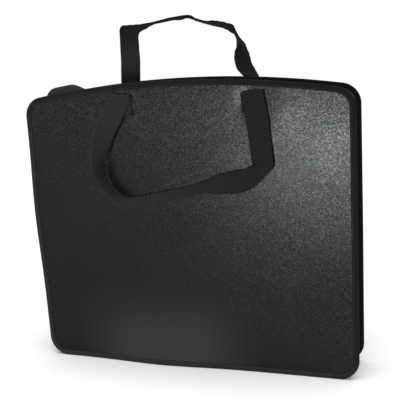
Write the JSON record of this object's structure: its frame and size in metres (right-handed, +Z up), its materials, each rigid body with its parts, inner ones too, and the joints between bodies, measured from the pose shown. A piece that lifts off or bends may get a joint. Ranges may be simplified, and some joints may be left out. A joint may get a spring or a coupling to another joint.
{
  "type": "portfolio case",
  "caption": "Flat zip-round carrying case for drawings: two bound plastic panels with an arched top, a bottom gusset and a webbing handle on each side.",
  "frame": {"origin": "on the ground under the middle of the closed, standing case, midway between the two panels", "axes": "+Z up, +X to the right seen from the front panel, +Y from the front panel to the back panel"},
  "size_m": [0.465, 0.2433, 0.4981],
  "materials": {
    "embossed_sheet": "black embossed plastic sheet, satin",
    "binding_tape": "black ribbed woven tape, matte",
    "gusset_cloth": "black coated nylon cloth, matte",
    "zip_tape": "black herringbone tape, matte",
    "zip_coil": "black nylon coil, satin",
    "webbing": "black ribbed polypropylene webbing",
    "stiffener": "black plastic patch, matte",
    "zip_metal": "black enamelled zinc, satin"
  },
  "bodies": {
    "base": {"bottom_gusset": "gusset_cloth", "left_zip_end_tab": "binding_tape", "right_zip_end_tab": "binding_tape"},
    "front_panel": {"front_cover": "embossed_sheet", "front_binding": "binding_tape", "front_gusset": "gusset_cloth", "front_zip_tape": "zip_tape", "front_zip_teeth": "zip_coil", "front_left_handle_tab": "webbing", "front_right_handle_tab": "webbing", "front_left_backing_patch": "stiffener", "front_right_backing_patch": "stiffener"},
    "back_panel": {"back_cover": "embossed_sheet", "back_binding": "binding_tape", "back_gusset": "gusset_cloth", "back_zip_tape": "zip_tape", "back_zip_teeth": "zip_coil", "back_left_handle_tab": "webbing", "back_right_handle_tab": "webbing", "back_left_backing_patch": "stiffener", "back_right_backing_patch": "stiffener"},
    "front_handle": {"front_handle_strap": "webbing"},
    "back_handle": {"back_handle_strap": "webbing"},
    "left_slider": {"left_slider_body": "zip_metal"},
    "right_slider": {"right_slider_body": "zip_metal"},
    "left_pull": {"left_slider_pull": "zip_metal"},
    "right_pull": {"right_slider_pull": "zip_metal"}
  },
  "joints": [
    {"name": "front_panel_open", "type": "hinge", "parent": "base", "child": "front_panel", "pos_m": [0, -0.0275, 0.009], "axis": [1, 0, 0], "range_deg": [0, 90]},
    {"name": "back_panel_open", "type": "hinge", "parent": "base", "child": "back_panel", "pos_m": [0, 0.0275, 0.009], "axis": [-1, 0, 0], "range_deg": [0, 90]},
    {"name": "front_handle_swing", "type": "hinge", "parent": "front_panel", "child": "front_handle", "pos_m": [0, -0.0346, 0.391], "axis": [-1, 0, 0], "range_deg": [0, 180]},
    {"name": "back_handle_swing", "type": "hinge", "parent": "back_panel", "child": "back_handle", "pos_m": [0, 0.0346, 0.391], "axis": [-1, 0, 0], "range_deg": [0, 105]},
    {"name": "left_slider_travel", "type": "hinge", "parent": "back_panel", "child": "left_slider", "pos_m": [0, 0, -0.95441], "axis": [0, -1, 0], "range_deg": [0, 7.2]},
    {"name": "right_slider_travel", "type": "hinge", "parent": "back_panel", "child": "right_slider", "pos_m": [0, 0, -0.95441], "axis": [0, 1, 0], "range_deg": [0, 7.2]},
    {"name": "left_pull_swing", "type": "hinge", "parent": "left_slider", "child": "left_pull", "pos_m": [-0.01696, 0, 0.4018], "axis": [0, 1, 0], "range_deg": [0, 110]},
    {"name": "right_pull_swing", "type": "hinge", "parent": "right_slider", "child": "right_pull", "pos_m": [0.01696, 0, 0.4018], "axis": [0, -1, 0], "range_deg": [0, 110]}
  ]
}
